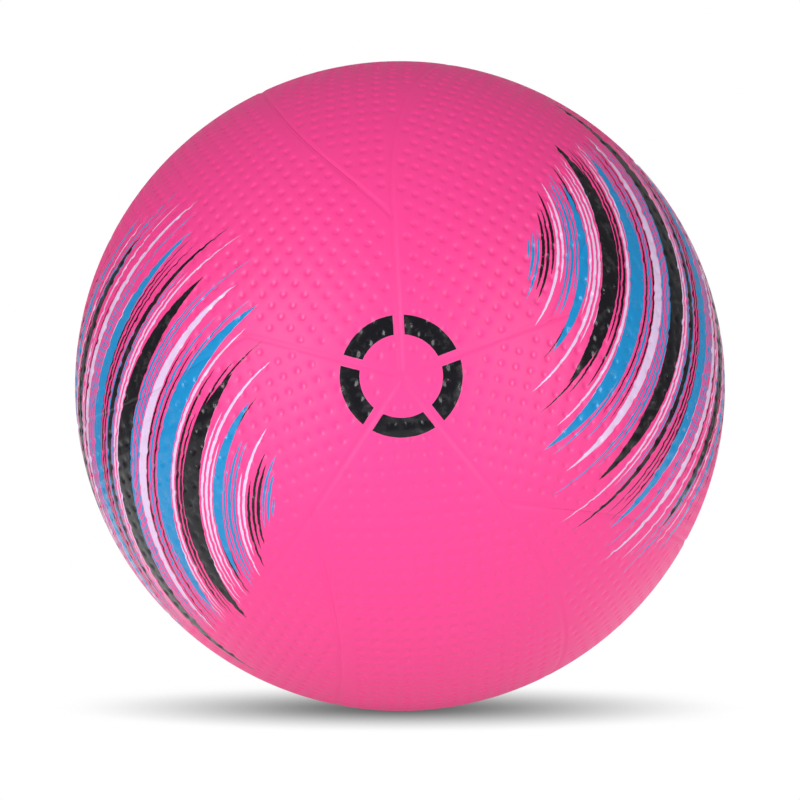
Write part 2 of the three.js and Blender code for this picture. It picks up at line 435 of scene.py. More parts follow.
    def build(self):
        """Points, faces, map places and dent depths of the closed mesh."""
        depth, dent = self.sink(self.places)
        top = self.layout.to_ways(self.places) * (self.layout.radius - depth)[:, None]
        faces = self.face_over(self.places, self.loops)
        rim = self.places[[i for loop in self.loops for i in loop]]
        inner = self.within(self.lattice(self.under_step), self.under_step / 2)
        inner = inner[self.clear_of_hole(inner, self.under_step / 2)]
        under_places = np.concatenate([rim, inner])
        low_loops = []
        for loop in self.loops:
            start = sum(len(done) for done in low_loops)
            low_loops.append(list(range(start, start + len(loop))))
        below = self.face_over(under_places, low_loops)
        level = self.layout.radius - self.sizes.cover_thickness
        bottom = self.layout.to_ways(under_places) * level
        first = len(top)
        walls = []
        for high, low in zip(self.loops, low_loops):
            for i, a in enumerate(high):
                after = (i + 1) % len(high)
                walls.append((a, first + low[i], first + low[after], high[after]))
        underside = [tuple(first + i for i in reversed(face)) for face in below]
        return {
            "points": np.concatenate([top, bottom]),
            "faces": faces + walls + underside,
            "places": np.concatenate([self.places, under_places]),
            "dent": np.concatenate([dent, np.zeros(len(bottom))]),
            "parts": (len(faces), len(walls), len(underside)),
        }


def bake_map(built, reach):
    """Each face corner's place on a square map for textures.

    The face is cut across into four stretches, laid two by two with a spare strip round each,
    and the underside lies below them at a small scale.
    """
    faces = built["faces"]
    places = built["places"]
    stretch = reach / 4
    spare = 2 * MM
    block = stretch + 2 * spare
    small = 1 / 8
    corners = np.array([i for face in faces for i in face])
    counts = np.array([len(face) for face in faces])
    first = np.concatenate([[0], np.cumsum(counts)[:-1]])
    middle = np.add.reduceat(places[corners], first) / counts[:, None]
    number = np.clip(middle[:, 0] // stretch, 0, 3)
    top, walls, under = built["parts"]
    column, row = number % 2, number // 2
    offset = np.stack(
        [column * block - number * stretch + spare, (row + 0.5) * block], axis=-1
    )
    scale = np.ones(len(faces))
    scale[top + walls :] = small
    offset[top + walls :] = [spare, 2 * block + small * block / 2]
    whole = 2 * block + small * block
    face_of = np.repeat(np.arange(len(faces)), counts)
    uv = places[corners] * scale[face_of][:, None] + offset[face_of]
    return uv / whole


def cover_object(name, built, uv, place, material):
    """One cover panel in its place on the ball."""
    mesh = bpy.data.meshes.new(name)
    points = built["points"] @ np.array(place.transposed())
    mesh.from_pydata(points.tolist(), [], built["faces"])
    layer = mesh.uv_layers.new(name="OFBake")
    layer.data.foreach_set("uv", uv.astype(np.float32).ravel())
    dent = mesh.attributes.new("dent", "FLOAT", "POINT")
    dent.data.foreach_set("value", built["dent"].astype(np.float32))
    mesh.shade_smooth()
    mesh.set_sharp_from_angle(angle=COVER_CREASE)
    mesh.materials.append(material)
    piece = bpy.data.objects.new(name, mesh)
    bpy.context.collection.objects.link(piece)
    return piece


# Shader nodes


class Nodes:
    """Adds nodes to one tree and links each input to the output or value it is given."""

    def __init__(self, tree):
        self.tree = tree

    def add(self, kind, inputs=None, **settings):
        """A node with its inputs fed and its settings made."""
        node = self.tree.nodes.new(kind)
        for key, value in settings.items():
            setattr(node, key, value)
        for key, value in (inputs or {}).items():
            self.feed(node.inputs[key], value)
        return node

    def feed(self, socket, value):
        """Links an output to an input, or sets the input to a value."""
        if isinstance(value, bpy.types.NodeSocket):
            self.tree.links.new(value, socket)
        else:
            socket.default_value = value

    def math(self, operation, *values, clamp=False):
        """The result of a Math node."""
        node = self.add("ShaderNodeMath", operation=operation, use_clamp=clamp)
        for socket, value in zip(node.inputs, values):
            self.feed(socket, value)
        return node.outputs[0]

    def vector(self, operation, *values, output="Vector"):
        """The result of a Vector Math node."""
        node = self.add("ShaderNodeVectorMath", operation=operation)
        for socket, value in zip(node.inputs, values):
            self.feed(socket, value)
        return node.outputs[output]

    def step(self, value, low, high):
        """0 below low and 1 above high, smooth between."""
        node = self.add(
            "ShaderNodeMapRange",
            {"Value": value, "From Min": low, "From Max": high},
            interpolation_type="SMOOTHSTEP",
        )
        return node.outputs["Result"]

    def between(self, share, low, high):
        """A value from low to high, by a share from 0 to 1."""
        return self.math("MULTIPLY_ADD", share, high - low, low)

    def blend(self, factor, first, second):
        """A mix of two colours."""
        node = self.add("ShaderNodeMix", data_type="RGBA")
        self.feed(node.inputs["Factor"], factor)
        self.feed(node.inputs[6], first)
        self.feed(node.inputs[7], second)
        return node.outputs[2]

    def noise(self, vector, scale, detail=2.0, roughness=0.5):
        """The value of a Noise Texture."""
        inputs = {"Vector": vector, "Scale": scale, "Detail": detail, "Roughness": roughness}
        return self.add("ShaderNodeTexNoise", inputs).outputs["Fac"]


def new_group(name, inputs, outputs):
    """An empty shader group with the given inputs and outputs, and its nodes."""
    tree = bpy.data.node_groups.new(name, "ShaderNodeTree")
    for key, value in inputs.items():
        kind = "NodeSocketFloat" if isinstance(value, (int, float)) else "NodeSocketVector"
        socket = tree.interface.new_socket(key, in_out="INPUT", socket_type=kind)
        socket.default_value = value
    for key, kind in outputs.items():
        tree.interface.new_socket(key, in_out="OUTPUT", socket_type=kind)
    nodes = Nodes(tree)
    source = nodes.add("NodeGroupInput")
    sink = nodes.add("NodeGroupOutput")
    return tree, nodes, source.outputs, sink.inputs


WHITE = (1, 1, 1, 1)


def rubber_skin_group():
    """The skin of moulded rubber: a fine grain, a soft change of tone and a patchy sheen."""
    inputs = {"Position": (0, 0, 0), "Grain size": 0.5 * MM, "Patch size": 20 * MM}
    outputs = {
        "Height": "NodeSocketFloat",
        "Tone": "NodeSocketFloat",
        "Sheen": "NodeSocketFloat",
    }
    tree, nodes, given, out = new_group("Rubber skin", inputs, outputs)
    grain_scale = nodes.math("DIVIDE", 1, given["Grain size"])
    patch_scale = nodes.math("DIVIDE", 1, given["Patch size"])
    grain = nodes.noise(given["Position"], grain_scale, detail=3)
    patch = nodes.noise(given["Position"], patch_scale, detail=4)
    fine_tone = nodes.math("MULTIPLY", grain, 0.3)
    nodes.feed(out["Height"], grain)
    nodes.feed(out["Tone"], nodes.math("MULTIPLY_ADD", patch, 0.7, fine_tone))
    nodes.feed(out["Sheen"], nodes.step(patch, 0.35, 0.65))
    return tree


def new_material(name):
    """An empty material, its nodes and its principled shader."""
    material = bpy.data.materials.new(name)
    material.use_nodes = True
    material.node_tree.nodes.clear()
    nodes = Nodes(material.node_tree)
    shader = nodes.add("ShaderNodeBsdfPrincipled")
    output = nodes.add("ShaderNodeOutputMaterial")
    nodes.feed(output.inputs["Surface"], shader.outputs[0])
    return material, nodes, shader


def add_skin(nodes, position, grain_size, patch_size):
    """The rubber skin group, made the first time and placed in a material."""
    tree = bpy.data.node_groups.get("Rubber skin") or rubber_skin_group()
    node = nodes.add("ShaderNodeGroup", node_tree=tree)
    nodes.feed(node.inputs["Position"], position)
    nodes.feed(node.inputs["Grain size"], grain_size)
    nodes.feed(node.inputs["Patch size"], patch_size)
    return node.outputs


# The print. Each ribbon is (across, half width, reach, shift, ink), with angles in degrees: across
# is where its middle line lies, reach is half its length, and shift moves it along that line.

RIBBON_TILT = 24  # how far the print's axis leans from the pole axis towards -Z
RIBBONS = (
    (9.5, 0.9, 34, 6, "blue"),
    (15, 1.7, 42, -4, "black"),
    (20.5, 0.8, 44, 8, "pale"),
    (26, 1.6, 48, 0, "blue"),
    (31, 0.7, 50, 6, "black"),
    (36, 2.1, 52, -6, "black"),
    (41.5, 1.0, 48, 4, "pale"),
    (47, 1.6, 46, 8, "blue"),
    (53, 1.8, 40, -2, "black"),
    (58.5, 1.0, 32, 4, "blue"),
)
RIBBON_TAPER = 0.8  # power that draws a ribbon in to its two ends

# The fine lines between the ribbons, with angles in degrees
LINE_PITCH = 0.9  # from one line to the next
LINES_START = 2  # across, where the lines begin
LINES_WIDTH = 67  # across, from the first line to the last
LINE_REACH = (34, 52)  # the least and the most that half a line's length comes to
LAST_REACH = 0.01  # what is left of it at both ends of the lines
LINE_SHIFT = (-10, 10)  # how far a line may be moved along itself
LINE_WIDTH = (0.26, 0.4)  # half of a line's width, as a share of the pitch
LINE_INKS = {"pale": 0.45, "black": 0.7}  # from which value of its draw a line has this ink
DRAW_DRIFT = 0.12  # how far the draw moves on from one line to the next
DRAW_CHANCE = 0.3  # and how far chance may move it

INK_FADE = 0.08  # how softly ink ends, in degrees for a ribbon and in pitches for a fine line
INK_WANDER = (-0.08, 0.08)  # how far the edge of the ink strays, in degrees
WANDER_SCALE = 900  # noise features to the metre

# The broken ring round each pole, in millimetres along the ball
RING_RADIUS = 15.2
RING_HALF_WIDTH = 3.0
RING_FADE = 0.12
RING_GAP = (1.5, 1.7)  # from a seam to where the ink starts, and to where it is full


def fine_lines(nodes, across, along, tints):
    """Ink cover and ink colour of fine lines between the ribbons, each of its own length."""
    place = nodes.math("DIVIDE", across, LINE_PITCH)
    number = nodes.math("FLOOR", place)
    off = nodes.math("SUBTRACT", nodes.math("SUBTRACT", place, number), 0.5)
    off = nodes.math("ABSOLUTE", off)
    toss = nodes.add("ShaderNodeTexWhiteNoise", {"W": number}, noise_dimensions="1D").outputs
    own = nodes.add("ShaderNodeSeparateColor", {"Color": toss["Color"]}).outputs

    middle = LINES_START + LINES_WIDTH / 2
    edge = nodes.math("DIVIDE", nodes.math("SUBTRACT", across, middle), LINES_WIDTH / 2)
    window = nodes.math("SUBTRACT", 1, nodes.math("MULTIPLY", edge, edge), clamp=True)
    window = nodes.math("POWER", window, 0.5)
    reach = nodes.between(toss["Value"], *LINE_REACH)
    reach = nodes.math("MULTIPLY_ADD", window, reach, LAST_REACH)
    shift = nodes.between(own[0], *LINE_SHIFT)
    run = nodes.math("DIVIDE", nodes.math("SUBTRACT", along, shift), reach)
    taper = nodes.math("SUBTRACT", 1, nodes.math("MULTIPLY", run, run), clamp=True)
    width = nodes.between(own[1], *LINE_WIDTH)
    width = nodes.math("MULTIPLY", width, nodes.math("POWER", taper, 0.5))
    cover = nodes.step(nodes.math("SUBTRACT", width, off), 0.0, INK_FADE)

    drift = nodes.math("MULTIPLY", number, DRAW_DRIFT)
    draw = nodes.math("FRACT", nodes.math("MULTIPLY_ADD", own[2], DRAW_CHANCE, drift))
    ink = tints["blue"]
    for tint, start in LINE_INKS.items():
        ink = nodes.blend(nodes.math("GREATER_THAN", draw, start), ink, tints[tint])
    return cover, ink


def print_axes(nodes, position):
    """How far a point is across the ribbons and along them, in degrees, on either side."""
    lean = math.radians(RIBBON_TILT)
    parts = nodes.add("ShaderNodeSeparateXYZ", {"Vector": position}).outputs
    radius = nodes.vector("LENGTH", position, output="Value")
    side = nodes.math("SIGN", parts["X"])
    x = nodes.math("ABSOLUTE", parts["X"])
    y = parts["Y"]
    z = nodes.math("MULTIPLY", parts["Z"], side)
    up = nodes.math("MULTIPLY_ADD", z, math.cos(lean), nodes.math("MULTIPLY", y, math.sin(lean)))
    out = nodes.math("MULTIPLY_ADD", y, math.cos(lean), nodes.math("MULTIPLY", z, -math.sin(lean)))
    across = nodes.math("ARCSINE", nodes.math("DIVIDE", out, radius))
    along = nodes.math("MULTIPLY", nodes.math("ARCTAN2", up, x), nodes.math("SIGN", across))
    across = nodes.math("MULTIPLY", nodes.math("ABSOLUTE", across), math.degrees(1))
    along = nodes.math("MULTIPLY", along, math.degrees(1))
    return across, along


def ribbon_print(nodes, position, tints):
    """Ink cover and ink colour of the ribbons that sweep round both sides."""
    across, along = print_axes(nodes, position)
    ragged = nodes.noise(position, WANDER_SCALE)
    across = nodes.math("ADD", across, nodes.between(ragged, *INK_WANDER))
    cover, ink = fine_lines(nodes, across, along, tints)
    for middle, half_width, reach, shift, tint in RIBBONS:
        run = nodes.math("DIVIDE", nodes.math("SUBTRACT", along, shift), reach)
        taper = nodes.math("SUBTRACT", 1, nodes.math("MULTIPLY", run, run), clamp=True)
        width = nodes.math("MULTIPLY", nodes.math("POWER", taper, RIBBON_TAPER), half_width)
        off = nodes.math("ABSOLUTE", nodes.math("SUBTRACT", across, middle))
        inside = nodes.step(nodes.math("SUBTRACT", width, off), 0.0, INK_FADE)
        cover = nodes.math("MAXIMUM", inside, cover)
        ink = nodes.blend(inside, ink, tints[tint])
    return cover, ink


def pole_rings(nodes, position, sizes):
    """Ink cover of the broken ring round each pole, with a gap at each straight seam."""
    parts = nodes.add("ShaderNodeSeparateXYZ", {"Vector": position}).outputs
    radius = nodes.vector("LENGTH", position, output="Value")
    level = nodes.math("DIVIDE", nodes.math("ABSOLUTE", parts["Y"]), radius)
    off = nodes.math("MULTIPLY", nodes.math("ARCCOSINE", level), sizes.ball_diameter / 2 / MM)
    band = nodes.math("ABSOLUTE", nodes.math("SUBTRACT", off, RING_RADIUS))
    inked = nodes.step(nodes.math("SUBTRACT", RING_HALF_WIDTH, band), 0.0, RING_FADE)

    # The back's seams are turned against the front's by twice the seams' lean.
    is_back = nodes.math("GREATER_THAN", parts["Y"], 0.0)
    turn = nodes.math("ARCTAN2", parts["Z"], parts["X"])
    turn = nodes.math("SUBTRACT", turn, sizes.first_seam)
    turn = nodes.math("MULTIPLY_ADD", is_back, 2 * sizes.seam_lean, turn)
    half = math.pi / sizes.panels_per_pole
    from_seam = nodes.math("ABSOLUTE", nodes.math("WRAP", turn, half, -half))
    gap = nodes.math("MULTIPLY", from_seam, off)
    return nodes.math("MULTIPLY", inked, nodes.step(gap, *RING_GAP))


# The finish of the cover

COVER_GRAIN = 0.5 * MM
COVER_PATCH = 24 * MM
TONE_LIFT = 0.012  # how much paler the rubber's pale patches are
RUBBER_ROUGHNESS = (0.52, 0.58)  # over the patches of the rubber's skin
DENT_POLISH = 0.23  # how much smoother the bottom of a dent is
COVER_SPECULAR = 0.35
BARE_COAT = 0.35  # weight of the soft gloss on rubber without ink
COAT_ROUGHNESS = 0.5
MOTTLE_SCALE = 260  # noise features to the metre in the ink's mottle
MOTTLE_LIGHT = 0.05  # share of white in the mottle's light places
INK_ROUGHNESS = (0.16, 0.3)  # over the mottle
INK_HEIGHT = 0.02 * MM
GRAIN_HEIGHT = 0.35  # of the rubber's grain, as a share of the ink's height
SPECK_SCALE = 1400  # noise features to the metre in the specks that the ink missed
SPECK_LEVEL = (0.7, 0.74)  # the noise above which a speck lies
SPECK_FLANK = (0.12, 0.25)  # how far up a dent's flank the specks begin, and are full


def ink_left(nodes, position, dent, printed):
    """The print with the specks that the ink missed on the flanks of the dents."""
    flank = nodes.math("MULTIPLY", nodes.math("SUBTRACT", 1, dent), dent)
    speck = nodes.step(nodes.noise(position, SPECK_SCALE), *SPECK_LEVEL)
    missed = nodes.math("MULTIPLY", nodes.step(flank, *SPECK_FLANK), speck)
    return nodes.math("MULTIPLY", printed, nodes.math("SUBTRACT", 1, missed))


def cover_material(sizes, colours):
    """Pink moulded rubber with ink on it."""
    material, nodes, shader = new_material("cover_rubber")
    position = nodes.add("ShaderNodeTexCoord").outputs["Object"]
    dent = nodes.add("ShaderNodeAttribute", attribute_name="dent").outputs["Fac"]
    skin = add_skin(nodes, position, COVER_GRAIN, COVER_PATCH)
    paler = tuple(c + TONE_LIFT for c in colours.cover)
    pink = nodes.blend(skin["Tone"], (*colours.cover, 1), (*paler, 1))

    tints = {
        "blue": (*colours.blue_ink, 1),
        "pale": (*colours.pale_ink, 1),
        "black": (*colours.black_ink, 1),
    }
    ribbons, ink = ribbon_print(nodes, position, tints)
    rings = pole_rings(nodes, position, sizes)
    ink = nodes.blend(rings, ink, tints["black"])
    printed = ink_left(nodes, position, dent, nodes.math("MAXIMUM", ribbons, rings))
    mottle = nodes.noise(position, MOTTLE_SCALE, detail=5, roughness=0.6)
    light_ink = nodes.blend(MOTTLE_LIGHT, ink, WHITE)
    ink = nodes.blend(nodes.step(mottle, 0.5, 0.8), ink, light_ink)
    nodes.feed(shader.inputs["Base Color"], nodes.blend(printed, pink, ink))

    shader.inputs["Specular IOR Level"].default_value = COVER_SPECULAR
    shader.inputs["Coat Roughness"].default_value = COAT_ROUGHNESS
    bare = nodes.math("SUBTRACT", 1, printed)
    nodes.feed(shader.inputs["Coat Weight"], nodes.math("MULTIPLY", bare, BARE_COAT))
    rubber_rough = nodes.between(skin["Sheen"], *RUBBER_ROUGHNESS)
    rubber_rough = nodes.math("MULTIPLY_ADD", dent, -DENT_POLISH, rubber_rough)
    ink_rough = nodes.between(mottle, *INK_ROUGHNESS)
    rough = nodes.add("ShaderNodeMix", data_type="FLOAT")
    nodes.feed(rough.inputs[0], printed)
    nodes.feed(rough.inputs[2], rubber_rough)
    nodes.feed(rough.inputs[3], ink_rough)
    nodes.feed(shader.inputs["Roughness"], rough.outputs[0])

    relief = nodes.math("MULTIPLY_ADD", skin["Height"], GRAIN_HEIGHT, printed)
    bump = nodes.add("ShaderNodeBump", {"Strength": 0.5, "Distance": INK_HEIGHT, "Height": relief})
    nodes.feed(shader.inputs["Normal"], bump.outputs["Normal"])
    return material


# The plain rubbers and the thread

PLAIN_PATCH = 6 * MM
PLAIN_LIFT = (1.6, 0.01)  # the pale patches: times the rubber's own colour, and on top of it
SHEEN_SPREAD = 0.07  # how far the roughness of a plain rubber strays either way
THREAD_PITCH = 0.748 * MM
THREAD_WAYS = ((1, 0.2, 0.1), (-0.3, 1, 0.4), (0.5, -0.6, 1))  # across each lay of the thread
THREAD_SHADE = 0.55  # painted shade between two threads, as a share of the thread's own colour
THREAD_ROUGHNESS = (0.75, 0.55)  # between two threads, and on their crests
THREAD_RELIEF = 0.2 * MM


def plain_rubber(name, tint, roughness, grain, depth):
    """Black or dark rubber. grain and depth say how wide and how deep its skin's grain is."""
    material, nodes, shader = new_material(name)
    position = nodes.add("ShaderNodeTexCoord").outputs["Object"]
    skin = add_skin(nodes, position, grain, PLAIN_PATCH)
    times, plus = PLAIN_LIFT
    paler = tuple(c * times + plus for c in tint)
    black = nodes.blend(skin["Tone"], (*tint, 1), (*paler, 1))
    nodes.feed(shader.inputs["Base Color"], black)
    rough = nodes.between(skin["Sheen"], roughness - SHEEN_SPREAD, roughness + SHEEN_SPREAD)
    nodes.feed(shader.inputs["Roughness"], rough)
    bump = nodes.add(
        "ShaderNodeBump", {"Strength": 0.6, "Distance": depth, "Height": skin["Height"]}
    )
    nodes.feed(shader.inputs["Normal"], bump.outputs["Normal"])
    return material


def thread_material(colours):
    """Nylon thread wound round and round in three directions, with painted shade between the
    threads.
    """
    material, nodes, shader = new_material("nylon_thread")
    position = nodes.add("ShaderNodeTexCoord").outputs["Object"]
    height = 0.0
    for way in THREAD_WAYS:
        line = nodes.vector("DOT_PRODUCT", position, Vector(way).normalized(), output="Value")
        wave = nodes.math("SINE", nodes.math("MULTIPLY", line, math.pi / THREAD_PITCH))
        height = nodes.math("MAXIMUM", nodes.math("ABSOLUTE", wave), height)
    crest = nodes.step(height, 0.5, 1.0)
    # dark is the painted shade in the hollows between the threads; the crests keep the thread's
    # own colour
    dark = tuple(c * THREAD_SHADE for c in colours.thread)
    tint = nodes.blend(crest, (*dark, 1), (*colours.thread, 1))
    nodes.feed(shader.inputs["Base Color"], tint)
    nodes.feed(shader.inputs["Roughness"], nodes.between(crest, *THREAD_ROUGHNESS))
    relief = {"Strength": 0.8, "Distance": THREAD_RELIEF, "Height": height}
    bump = nodes.add("ShaderNodeBump", relief)
    nodes.feed(shader.inputs["Normal"], bump.outputs["Normal"])
    return material


# The cover


class BALL_OT_cover(Operator):
    """Builds the ten cover panels over their solids"""

    bl_idname = "ball.cover"
    bl_label = "Cover panels"

    def execute(self, context):
        sizes = context.scene.ball_sizes
        material = cover_material(sizes, context.scene.ball_colours)
        layout = PanelMap(sizes)
        plain = CoverMesh(layout).build()
        reach = plain["places"][:, 0].max()
        plain_uv = bake_map(plain, reach)
        for is_back in (False, True):
            for number in range(sizes.panels_per_pole):
                node = f"{'back' if is_back else 'front'}_panel_{number + 1}"
                place = place_of(sizes, is_back, number)
                built, uv = plain, plain_uv
                if is_back and number == 0:
                    way = np.array(place.inverted() @ VALVE_LINE)
                    built = CoverMesh(layout, layout.to_map(way)).build()
                    uv = bake_map(built, reach)
                piece = cover_object(f"cover_{node}", built, uv, place, material)
                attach(piece, "root")
                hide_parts(node)
        return {"FINISHED"}


# The valve. Its sections are points of radius and height, with the height from the ball's centre.

VALVE_STEPS = 72  # faces round the valve
VALVE_CREASE = math.radians(35)  # edges sharper than this shade as edges
VALVE_ROUND = 0.3 * MM  # rounding of its edges
NECK_GAP = 0.3 * MM  # round the neck, in the hole
FACE_DROP = 0.3 * MM  # from the rim of the hole down to the valve's face
CORE_GAP = 0.12 * MM  # round the core, in the housing
FLANGE_TOP = 101.05 * MM
FLANGE_SLOPE = 0.6 * MM  # how far the flange's rim lies below its middle
FLANGE_EDGE = 0.8 * MM  # thickness of the flange at its rim
FLANGE_ROOT = 2.2 * MM  # thickness of the flange at the boss
BOSS_RADIUS = 5 * MM
BOSS_LENGTH = 13.8 * MM  # from the flange's top inwards
BOSS_CHAMFER = 0.8 * MM
NEEDLE_DEPTH = 6 * MM
CORE_TAPER = (1.1 * MM, 2.2 * MM)  # across and along, at the core's inner end


def turned(name, profile, material):
    """A turned piece on the valve's line, from a closed section in radius and height."""
    mesh = bpy.data.meshes.new(name)
    shape = bmesh.new()
    turns = [2 * math.pi * i / VALVE_STEPS for i in range(VALVE_STEPS)]
    rings = []
    for radius, height in profile:
        if radius == 0:
            rings.append([shape.verts.new((0, 0, height))] * VALVE_STEPS)
            continue
        places = [(radius * math.cos(t), radius * math.sin(t), height) for t in turns]
        rings.append([shape.verts.new(place) for place in places])
    closed = profile[0][0] > 0
    pairs = zip(rings, rings[1:] + rings[:1]) if closed else zip(rings, rings[1:])
    for upper, lower in pairs:
        for i in range(VALVE_STEPS):
            j = (i + 1) % VALVE_STEPS
            corners = dict.fromkeys((upper[i], lower[i], lower[j], upper[j]))
            shape.faces.new(corners)
    bmesh.ops.recalc_face_normals(shape, faces=shape.faces)
    shape.to_mesh(mesh)
    shape.free()
    mesh.transform(Vector((0, 0, 1)).rotation_difference(VALVE_LINE).to_matrix().to_4x4())
    mesh.shade_smooth()
    mesh.set_sharp_from_angle(angle=VALVE_CREASE)
    mesh.materials.append(material)
    piece = bpy.data.objects.new(name, mesh)
    bpy.context.collection.objects.link(piece)
    return piece


def rounded(profile, radius, steps=3):
    """A section with each corner cut by a short arc, apart from corners on its axis."""
    made = []
    for i, here in enumerate(profile):
        here = Vector(here)
        if here.x == 0:
            made.append(tuple(here))
            continue
        to_before = Vector(profile[i - 1]) - here
        to_after = Vector(profile[(i + 1) % len(profile)]) - here
        cut = min(radius, to_before.length / 2.5, to_after.length / 2.5)
        start = here + to_before.normalized() * cut
        end = here + to_after.normalized() * cut
        for j in range(steps + 1):
            t = j / steps
            made.append(tuple(start * (1 - t) ** 2 + here * 2 * t * (1 - t) + end * t**2))
    return made


def housing_section(k, face):
    """The housing: the neck in its hole, the flange inside the bladder and the boss below."""
    bore = k.core_radius + CORE_GAP
    flange_rim = FLANGE_TOP - FLANGE_SLOPE
    boss_end = FLANGE_TOP - BOSS_LENGTH
    return [
        (bore, face - 0.1 * MM),
        (bore + 0.45 * MM, face),
        (k.neck_radius - 0.7 * MM, face),
        (k.neck_radius - 0.5 * MM, face - 0.25 * MM),
        (k.neck_radius, face - 0.3 * MM),
        (k.neck_radius, FLANGE_TOP),
        (k.flange_radius, flange_rim),
        (k.flange_radius, flange_rim - FLANGE_EDGE),
        (BOSS_RADIUS, FLANGE_TOP - FLANGE_ROOT),
        (BOSS_RADIUS, boss_end + BOSS_CHAMFER),
        (BOSS_RADIUS - BOSS_CHAMFER, boss_end),
        (bore, boss_end),
    ]


def core_section(k, face):
    """The core: a plug with a slightly flared hole for the needle, and a tapered inner end."""
    across, along = CORE_TAPER
    end = face - k.core_length
    return [
        (0, face - NEEDLE_DEPTH),
        (k.needle_radius * 0.6, face - NEEDLE_DEPTH + 0.4 * MM),
        (k.needle_radius, face - 0.9 * MM),
        (k.needle_radius + 0.35 * MM, face - 0.25 * MM),
        (k.core_radius - 0.5 * MM, face - 0.12 * MM),
        (k.core_radius, face - 0.3 * MM),
        (k.core_radius, end + along),
        (k.core_radius - across, end),
        (0, end),
    ]


class BALL_OT_valve(Operator):
    """Builds the valve's housing and its core on the valve's line"""

    bl_idname = "ball.valve"
    bl_label = "Valve"

    def execute(self, context):
        k = context.scene.ball_sizes
        tint = tuple(context.scene.ball_colours.valve)
        material = plain_rubber("valve_rubber", tint, 0.45, grain=0.35 * MM, depth=0.03 * MM)
        rim = math.sqrt((k.ball_diameter / 2) ** 2 - (k.neck_radius + NECK_GAP) ** 2)
        face = rim - FACE_DROP
        sections = {
            "valve_housing": housing_section(k, face),
            "valve_core": core_section(k, face),
        }
        for node, section in sections.items():
            piece = turned(f"moulded_{node}", rounded(section, VALVE_ROUND), material)
            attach(piece, "root")
            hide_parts(node)
        return {"FINISHED"}


# The layers inside


class BALL_OT_inner_layers(Operator):
    """Gives the carcass, the winding and the bladder their materials"""

    bl_idname = "ball.inner_layers"
    bl_label = "Inner layers"

    def execute(self, context):
        colours = context.scene.ball_colours
        dark, black = tuple(colours.carcass), tuple(colours.bladder)
        sheet = plain_rubber("carcass_rubber", dark, 0.8, grain=0.8 * MM, depth=0.1 * MM)
        butyl = plain_rubber("butyl_rubber", black, 0.5, grain=1.5 * MM, depth=0.05 * MM)
        thread = thread_material(colours)
        layers = {
            "carcass_front": sheet,
            "carcass_back": sheet,
            "nylon_winding": thread,
            "air_bladder": butyl,
        }
        for node, material in layers.items():
            solid = bpy.data.objects[node]
            for place in solid.material_slots:
                place.material = material
        return {"FINISHED"}


# The stage

FLOOR_RADIUS = 0.45
FLOOR_GLOW = 0.6  # light that the table gives from below
SHADE_WAY = {"Y": -0.29, "Z": 0.96}  # where the painted shadow looks for open sky: up, and a bit forwards
SHADE_START = 0.66  # share of open sky from which the floor is white
SHADE_CURVE = 1.1
PAINTED_SHADOW_DARKEST = 0.1  # brightness of the painted shadow under the ball, where it is darkest
WORLD_GLOW = 0.26  # plain light from all round
BACK_CONE = (0.9, 1.0)  # how far backwards a reflection goes for it to show the white backdrop
LAMP_DISTANCE = 1.6
STRIP_SIZE = (0.35, 1.2)  # width and height of the two front lamps


def seen_rays(nodes, mirrored_share=1.0):
    """1 for rays that show the background plainly, and a share of 1 where a gloss mirrors it."""
    path = nodes.add("ShaderNodeLightPath").outputs
    mirrored = nodes.math("MAXIMUM", path["Is Glossy Ray"], path["Is Transmission Ray"])
    mirrored = nodes.math("MULTIPLY", mirrored, mirrored_share)
    return nodes.math("MAXIMUM", path["Is Camera Ray"], mirrored)


def floor_material(tint):
    """A pale light table. To the camera it is white, with a painted shadow where the ball covers
    it: an emission that darkens with ambient occlusion.
    """
    material = bpy.data.materials.new("studio_floor")
    material.use_nodes = True
    material.node_tree.nodes.clear()
    nodes = Nodes(material.node_tree)
    matt = nodes.add("ShaderNodeBsdfPrincipled", {"Base Color": (*tint, 1), "Roughness": 1.0})
    matt.inputs["Specular IOR Level"].default_value = 0.0
    matt.inputs["Emission Color"].default_value = WHITE
    matt.inputs["Emission Strength"].default_value = FLOOR_GLOW
    way = nodes.add("ShaderNodeCombineXYZ", SHADE_WAY).outputs[0]
    sky_inputs = {"Distance": 1.0, "Normal": way}
    sky = nodes.add("ShaderNodeAmbientOcclusion", sky_inputs, samples=32).outputs["AO"]
    open_sky = {"Value": sky, "From Min": 0.0, "From Max": SHADE_START}
    shade = nodes.add("ShaderNodeMapRange", open_sky).outputs[0]
    shade = nodes.math("POWER", shade, SHADE_CURVE)
    # The painted shadow: an emission seen by the camera and by glosses, dimmed where the ball
    # shuts out the open sky
    glow = nodes.add("ShaderNodeEmission", {"Strength": nodes.between(shade, PAINTED_SHADOW_DARKEST, 1)})
    mixed = nodes.add("ShaderNodeMixShader")
    nodes.feed(mixed.inputs[0], seen_rays(nodes))
    nodes.feed(mixed.inputs[1], matt.outputs[0])
    nodes.feed(mixed.inputs[2], glow.outputs[0])
    output = nodes.add("ShaderNodeOutputMaterial")
    nodes.feed(output.inputs["Surface"], mixed.outputs[0])
    return material


def stand(name, data, azimuth, elevation, distance, drop=0.0):
    """A lamp or camera that looks at the ball's centre, or at a point that much lower.

    azimuth goes round the ball from the front pole and elevation upwards, both in radians.
    """
    level = math.cos(elevation)
    way = (math.sin(azimuth) * level, -math.cos(azimuth) * level, math.sin(elevation))
    item = bpy.data.objects.new(name, data)
    item.location = Vector(way) * distance
    aim = Vector((0, 0, -drop)) - item.location
    item.rotation_mode = "QUATERNION"
    item.rotation_quaternion = aim.to_track_quat("-Z", "Y")
    bpy.context.collection.objects.link(item)
    return item


def place_lamp(data, azimuth, elevation, drop=0.0):
    """A lamp in its place round the ball, by degrees."""
    turn, rise = math.radians(azimuth), math.radians(elevation)
    lamp = stand(data.name, data, turn, rise, LAMP_DISTANCE, drop)
    lamp.visible_camera = False
    return lamp


